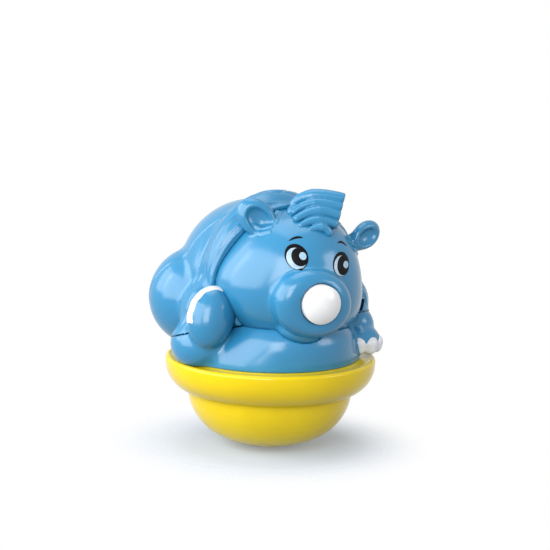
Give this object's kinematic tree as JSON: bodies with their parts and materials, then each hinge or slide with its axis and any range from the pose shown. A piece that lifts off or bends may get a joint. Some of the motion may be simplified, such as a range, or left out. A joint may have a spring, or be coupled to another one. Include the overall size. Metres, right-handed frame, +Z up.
{
  "type": "wobble toy",
  "caption": "Round-bottomed weighted toy of a seated rhinoceros calf with a light-up push-button nose; it rocks and rights itself.",
  "frame": {"origin": "centre of the small flat under the round bowl, on the bowl's axis", "axes": "+Z up along the bowl's axis, the calf faces -Y, +X to the calf's left"},
  "size_m": [0.0715, 0.0782, 0.0869],
  "materials": {
    "blue_shell": "glossy moulded, light blue",
    "yellow_base": "glossy moulded, yellow",
    "white_button": "glossy moulded, translucent white",
    "white_knob": "moulded, white",
    "black_plastic": "moulded, black",
    "blue_guide": "moulded, light blue",
    "weight": "as cast",
    "screw_steel": "zinc plated",
    "spring_steel": "bright",
    "cell_case": "printed sleeve, unmarked",
    "board": "green lacquer",
    "led_lens": "clear",
    "magnet": "ferrite",
    "basket": "plated",
    "cone": "paper cone",
    "red_lead": "insulated wire",
    "black_lead": "insulated wire",
    "sensor_can": "plated",
    "capacitor_can": "sleeved"
  },
  "bodies": {
    "toy": {"head_shell": "blue_shell", "back_shell": "blue_shell", "belly_shell": "blue_shell", "base_rim": "yellow_base", "base_bowl": "yellow_base", "counterweight": "weight", "weight_screw": "screw_steel", "base_screws": "screw_steel", "body_screws": "screw_steel", "shell_screws": "screw_steel", "head_screws": "screw_steel", "button_guide": "blue_guide", "guide_screws": "screw_steel", "button_spring": "spring_steel", "nose_board": "board", "nose_led": "led_lens", "nose_switch": "black_plastic", "board_screws": "screw_steel", "battery_tray": "black_plastic", "tray_screws": "screw_steel", "cell_front": "cell_case", "cell_rear": "cell_case", "contact_springs": "spring_steel", "contact_plates": "spring_steel", "main_board": "board", "main_screws": "screw_steel", "sound_chip": "black_plastic", "capacitor": "capacitor_can", "tilt_sensor": "sensor_can", "power_switch": "black_plastic", "switch_screws": "screw_steel", "speaker_basket": "basket", "speaker_magnet": "magnet", "speaker_cone": "cone", "speaker_clamp": "black_plastic", "clamp_screws": "screw_steel", "nose_leads": "red_lead", "speaker_leads": "black_lead", "battery_leads": "red_lead"},
    "nose_button": {"nose_button": "white_button"},
    "switch_knob": {"switch_knob": "white_knob"}
  },
  "joints": [
    {"name": "button_press", "type": "slide", "parent": "toy", "child": "nose_button", "axis": [0.2228, 0.9725, 0.068], "range_m": [0, 0.0013], "stiffness_N_per_m": 600, "springref_m": -0.001, "deforming": ["button_spring"]},
    {"name": "switch_slide", "type": "slide", "parent": "toy", "child": "switch_knob", "axis": [1, 0, 0], "range_m": [0, 0.003]}
  ]
}
